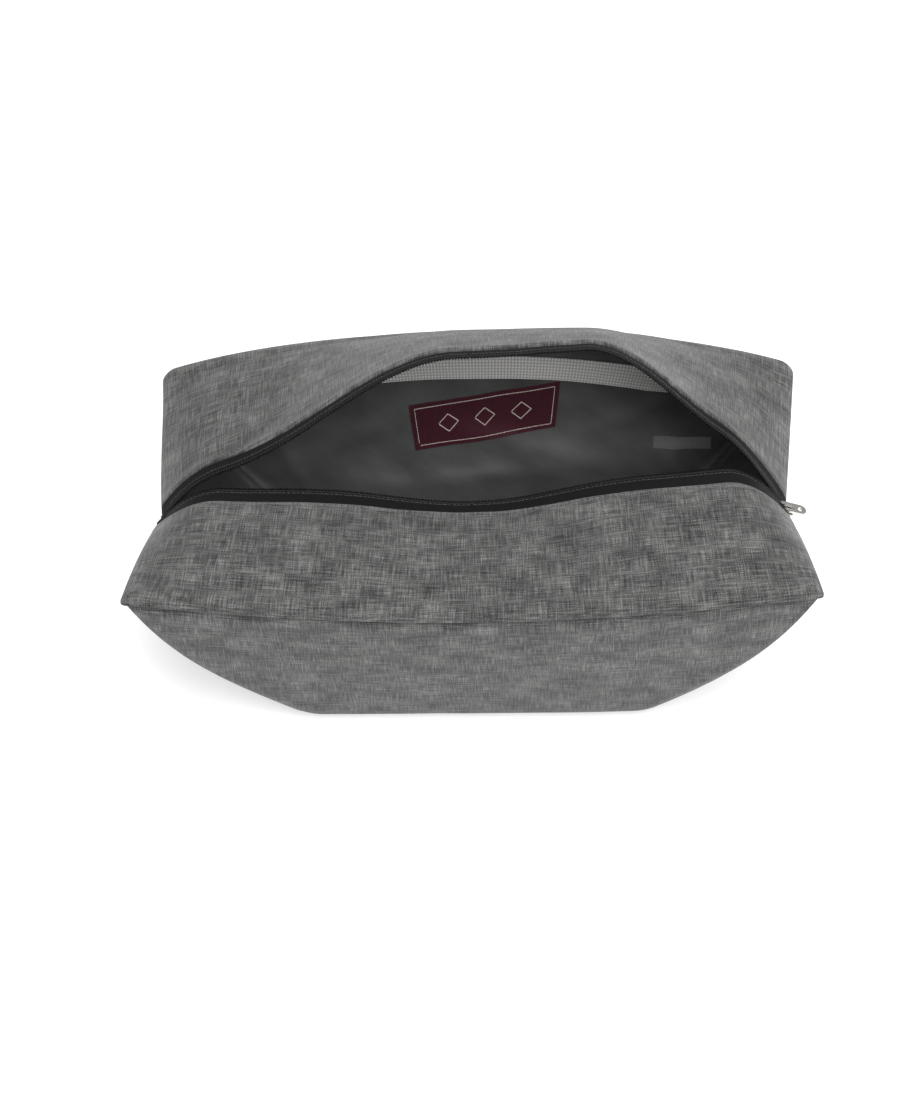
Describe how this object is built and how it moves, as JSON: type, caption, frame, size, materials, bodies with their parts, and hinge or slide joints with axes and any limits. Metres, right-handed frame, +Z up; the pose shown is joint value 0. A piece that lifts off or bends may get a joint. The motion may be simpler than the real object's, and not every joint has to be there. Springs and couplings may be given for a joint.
{
  "type": "shoe bag",
  "caption": "Soft boxy travel bag for shoes, padded and lined, with a zip along its open top; it stands on its flat base.",
  "frame": {"origin": "middle of the underside of the base, where the bag stands", "axes": "+X along the zip towards the end where the slider rests, +Y towards the back, +Z up out of the open top"},
  "size_m": [0.3383, 0.1828, 0.1746],
  "materials": {
    "shell_fabric": "heathered plain weave, matt",
    "padding": "open foam",
    "lining": "coated cloth with a soft sheen",
    "seam_tape": "woven ribbon",
    "zip_tape": "black woven tape",
    "zip_coil": "black nylon coil",
    "maker_label": "woven satin label",
    "care_tag": "thin woven tag",
    "zip_metal": "nickel plated"
  },
  "bodies": {
    "bag": {"front_wall": "shell_fabric", "back_wall": "shell_fabric", "left_end": "shell_fabric", "right_end": "shell_fabric", "base_panel": "shell_fabric", "front_foam": "padding", "back_foam": "padding", "left_end_foam": "padding", "right_end_foam": "padding", "base_foam": "padding", "front_lining": "lining", "back_lining": "lining", "left_end_lining": "lining", "right_end_lining": "lining", "base_lining": "lining", "front_seam_tape": "seam_tape", "back_seam_tape": "seam_tape", "maker_label": "maker_label", "care_tag": "care_tag"},
    "front_flap": {"front_top_panel": "shell_fabric", "front_top_lining": "lining", "front_zip_tape": "zip_tape", "front_zip_coil": "zip_coil"},
    "back_flap": {"back_top_panel": "shell_fabric", "back_top_lining": "lining", "back_zip_tape": "zip_tape", "back_zip_coil": "zip_coil"},
    "slider": {"zip_slider": "zip_metal"},
    "pull": {"pull_tab": "zip_metal"}
  },
  "joints": [
    {"name": "slider_run", "type": "hinge", "parent": "bag", "child": "slider", "pos_m": [0, -0.005, -0.37902], "axis": [0, -1, 0], "range_deg": [0, 37.61]},
    {"name": "back_flap_turn", "type": "hinge", "parent": "bag", "child": "back_flap", "pos_m": [0, 0.0905, 0.114], "axis": [1, 0, 0], "range_deg": [0, 42.25], "deforming": ["back_top_panel", "back_top_lining", "back_zip_tape", "back_zip_coil"]},
    {"name": "front_flap_turn", "type": "hinge", "parent": "bag", "child": "front_flap", "pos_m": [0, -0.0915, 0.096], "axis": [1, 0, 0], "range_deg": [0, 7.05], "deforming": ["front_top_panel", "front_top_lining", "front_zip_tape", "front_zip_coil"]},
    {"name": "pull_swing", "type": "hinge", "parent": "slider", "child": "pull", "pos_m": [0.1567, -0.005, 0.08654], "axis": [0, -1, 0], "range_deg": [0, 150]}
  ],
  "couplings": [
    {"joint": "back_flap_turn", "follows": "slider_run", "ratio": 1.122},
    {"joint": "front_flap_turn", "follows": "slider_run", "ratio": 0.18611}
  ]
}
